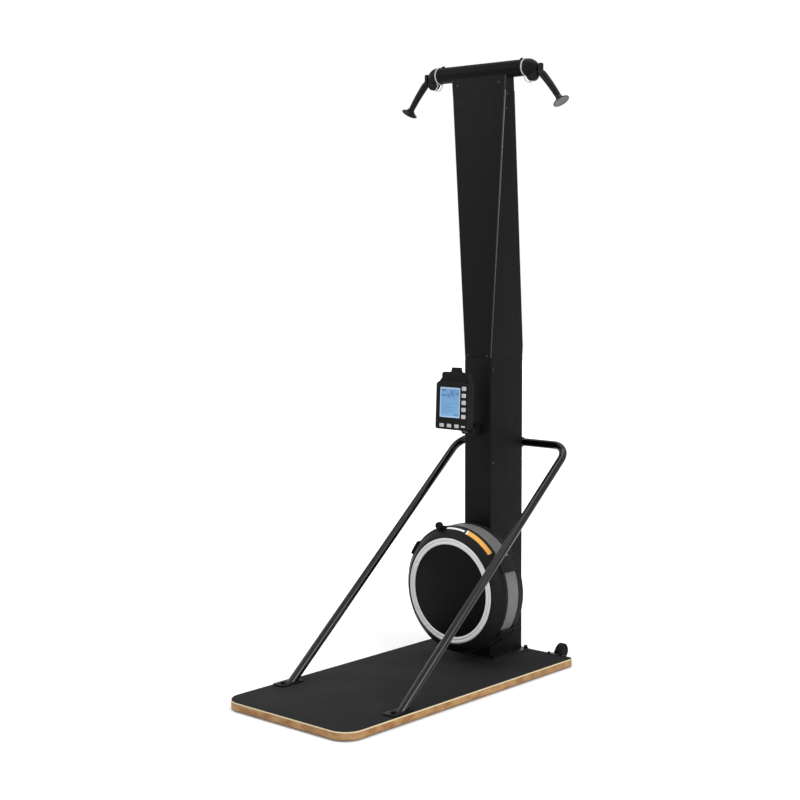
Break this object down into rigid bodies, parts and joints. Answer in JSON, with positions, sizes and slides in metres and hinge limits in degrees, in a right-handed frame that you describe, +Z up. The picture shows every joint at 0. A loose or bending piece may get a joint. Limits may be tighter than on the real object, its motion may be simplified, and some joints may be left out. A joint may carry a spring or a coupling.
{
  "type": "ski trainer machine",
  "caption": "Standing ski trainer: a tall flared column on a wooden platform, with an air flywheel drum, a monitor, a bent tube support and two pull handles on a crossbar.",
  "frame": {"origin": "centre of the bottom of the bounding box, on the floor under the platform", "axes": "+Z up, +X to the right of a user who faces the column, +Y away from the user, from the platform's free end to the column"},
  "size_m": [0.7658, 1.2663, 2.2255],
  "materials": {
    "wood": "satin",
    "deck": "matte",
    "rubber": "matte",
    "column": "satin powder coat",
    "plastic": "matte",
    "grip": "satin",
    "trim": "satin",
    "steel": "brushed",
    "mesh": "perforated sheet",
    "scale": "printed strip",
    "screen": "backlit",
    "button": "satin",
    "cord": "braided",
    "aluminium": "cast"
  },
  "bodies": {
    "frame": {"platform_board": "wood", "deck_mat": "deck", "foot_front_right": "rubber", "foot_front_left": "rubber", "foot_rear_right": "rubber", "foot_rear_left": "rubber", "column_foot": "column", "lower_column": "column", "lower_rear_cover": "column", "upper_column": "column", "upper_rear_cover": "column", "top_saddle": "plastic", "crossbar": "column", "bar_ring_right": "trim", "bar_ring_left": "trim", "drive_cord_right": "cord", "drive_cord_left": "cord", "return_cord": "cord", "axle_bearing": "steel", "drum_rear_shell": "plastic", "mesh_band": "mesh", "drum_front_cover": "plastic", "trim_ring": "trim", "damper_scale": "scale", "support_frame": "column", "support_clamp": "column", "monitor_plate": "plastic", "monitor_bracket": "plastic", "wheel_bracket_right": "steel", "wheel_bracket_left": "steel"},
    "flywheel": {"flywheel": "aluminium", "axle": "steel"},
    "spool_left": {"spool_left": "plastic"},
    "spool_right": {"spool_right": "plastic"},
    "idler_right": {"idler_right": "plastic"},
    "idler_left": {"idler_left": "plastic"},
    "return_pulley": {"return_pulley": "plastic"},
    "swivel_right": {"swivel_right": "plastic", "cord_end_right": "cord"},
    "swivel_left": {"swivel_left": "plastic", "cord_end_left": "cord"},
    "end_pulley_right": {"end_pulley_right": "plastic"},
    "end_pulley_left": {"end_pulley_left": "plastic"},
    "handle_right": {"handle_right": "grip"},
    "handle_left": {"handle_left": "grip"},
    "damper_lever": {"damper_lever": "plastic"},
    "monitor": {"monitor_arm": "plastic", "monitor_case": "plastic", "monitor_screen": "screen"},
    "transport_wheel_right": {"transport_wheel_right": "rubber"},
    "transport_wheel_left": {"transport_wheel_left": "rubber"},
    "button_side_1": {"button_side_1": "button"},
    "button_side_2": {"button_side_2": "button"},
    "button_side_3": {"button_side_3": "button"},
    "button_side_4": {"button_side_4": "button"},
    "button_side_5": {"button_side_5": "button"},
    "button_base_1": {"button_base_1": "button"},
    "button_base_2": {"button_base_2": "button"},
    "button_base_3": {"button_base_3": "button"},
    "button_slim": {"button_slim": "button"}
  },
  "joints": [
    {"name": "flywheel_spin", "type": "hinge", "parent": "frame", "child": "flywheel", "pos_m": [0, 0.2835, 0.304], "axis": [0, 1, 0], "continuous": true},
    {"name": "return_pulley_spin", "type": "hinge", "parent": "frame", "child": "return_pulley", "pos_m": [0, 0.3865, 1.9], "axis": [0, 1, 0], "continuous": true},
    {"name": "damper_turn", "type": "hinge", "parent": "frame", "child": "damper_lever", "pos_m": [0, 0.2385, 0.304], "axis": [0, 1, 0], "range_deg": [0, 62]},
    {"name": "monitor_tilt", "type": "hinge", "parent": "frame", "child": "monitor", "pos_m": [0, 0.3055, 0.88], "axis": [1, 0, 0], "range_deg": [-20, 20]},
    {"name": "button_side_1_press", "type": "slide", "parent": "monitor", "child": "button_side_1", "axis": [0, 0.999, -0.0436], "range_m": [0, 0.0015], "stiffness_N_per_m": 300, "springref_m": -0.0005},
    {"name": "button_side_2_press", "type": "slide", "parent": "monitor", "child": "button_side_2", "axis": [0, 0.999, -0.0436], "range_m": [0, 0.0015], "stiffness_N_per_m": 300, "springref_m": -0.0005},
    {"name": "button_side_3_press", "type": "slide", "parent": "monitor", "child": "button_side_3", "axis": [0, 0.999, -0.0436], "range_m": [0, 0.0015], "stiffness_N_per_m": 300, "springref_m": -0.0005},
    {"name": "button_side_4_press", "type": "slide", "parent": "monitor", "child": "button_side_4", "axis": [0, 0.999, -0.0436], "range_m": [0, 0.0015], "stiffness_N_per_m": 300, "springref_m": -0.0005},
    {"name": "button_side_5_press", "type": "slide", "parent": "monitor", "child": "button_side_5", "axis": [0, 0.999, -0.0436], "range_m": [0, 0.0015], "stiffness_N_per_m": 300, "springref_m": -0.0005},
    {"name": "button_base_1_press", "type": "slide", "parent": "monitor", "child": "button_base_1", "axis": [0, 0.999, -0.0436], "range_m": [0, 0.0015], "stiffness_N_per_m": 300, "springref_m": -0.0005},
    {"name": "button_base_2_press", "type": "slide", "parent": "monitor", "child": "button_base_2", "axis": [0, 0.999, -0.0436], "range_m": [0, 0.0015], "stiffness_N_per_m": 300, "springref_m": -0.0005},
    {"name": "button_base_3_press", "type": "slide", "parent": "monitor", "child": "button_base_3", "axis": [0, 0.999, -0.0436], "range_m": [0, 0.0015], "stiffness_N_per_m": 300, "springref_m": -0.0005},
    {"name": "button_slim_press", "type": "slide", "parent": "monitor", "child": "button_slim", "axis": [0, 0.999, -0.0436], "range_m": [0, 0.0015], "stiffness_N_per_m": 300, "springref_m": -0.0005},
    {"name": "swivel_right_turn", "type": "hinge", "parent": "frame", "child": "swivel_right", "pos_m": [0.232, 0.3865, 2.193], "axis": [1, 0, 0], "range_deg": [-70, 30]},
    {"name": "handle_right_pull", "type": "slide", "parent": "swivel_right", "child": "handle_right", "axis": [0.766, 0, -0.6428], "range_m": [0, 1.25], "stiffness_N_per_m": 20, "springref_m": -0.5},
    {"name": "end_pulley_right_spin", "type": "hinge", "parent": "swivel_right", "child": "end_pulley_right", "pos_m": [0.232, 0.3865, 2.1665], "axis": [0, 1, 0], "range_deg": [0, 3900]},
    {"name": "idler_right_spin", "type": "hinge", "parent": "frame", "child": "idler_right", "pos_m": [0.048, 0.3865, 2.173], "axis": [0, 1, 0], "range_deg": [0, 3600]},
    {"name": "spool_right_spin", "type": "hinge", "parent": "frame", "child": "spool_right", "pos_m": [0, 0.40025, 0.304], "axis": [0, 1, 0], "range_deg": [-2600, 0]},
    {"name": "transport_wheel_right_spin", "type": "hinge", "parent": "frame", "child": "transport_wheel_right", "pos_m": [0.213, 0.6045, 0.041], "axis": [1, 0, 0], "continuous": true},
    {"name": "swivel_left_turn", "type": "hinge", "parent": "frame", "child": "swivel_left", "pos_m": [-0.232, 0.3865, 2.193], "axis": [1, 0, 0], "range_deg": [-70, 30]},
    {"name": "handle_left_pull", "type": "slide", "parent": "swivel_left", "child": "handle_left", "axis": [-0.766, 0, -0.6428], "range_m": [0, 1.25], "stiffness_N_per_m": 20, "springref_m": -0.5},
    {"name": "end_pulley_left_spin", "type": "hinge", "parent": "swivel_left", "child": "end_pulley_left", "pos_m": [-0.232, 0.3865, 2.1665], "axis": [0, 1, 0], "range_deg": [-3900, 0]},
    {"name": "idler_left_spin", "type": "hinge", "parent": "frame", "child": "idler_left", "pos_m": [-0.048, 0.3865, 2.173], "axis": [0, 1, 0], "range_deg": [-3600, 0]},
    {"name": "spool_left_spin", "type": "hinge", "parent": "frame", "child": "spool_left", "pos_m": [0, 0.37975, 0.304], "axis": [0, 1, 0], "range_deg": [0, 2600]},
    {"name": "transport_wheel_left_spin", "type": "hinge", "parent": "frame", "child": "transport_wheel_left", "pos_m": [-0.213, 0.6045, 0.041], "axis": [1, 0, 0], "continuous": true}
  ],
  "couplings": [
    {"joint": "end_pulley_right_spin", "follows": "handle_right_pull", "rad_per_m": 54.054},
    {"joint": "idler_right_spin", "follows": "handle_right_pull", "rad_per_m": 50},
    {"joint": "spool_right_spin", "follows": "handle_right_pull", "rad_per_m": -35.714},
    {"joint": "end_pulley_left_spin", "follows": "handle_left_pull", "rad_per_m": -54.054},
    {"joint": "idler_left_spin", "follows": "handle_left_pull", "rad_per_m": -50},
    {"joint": "spool_left_spin", "follows": "handle_left_pull", "rad_per_m": 35.714}
  ]
}
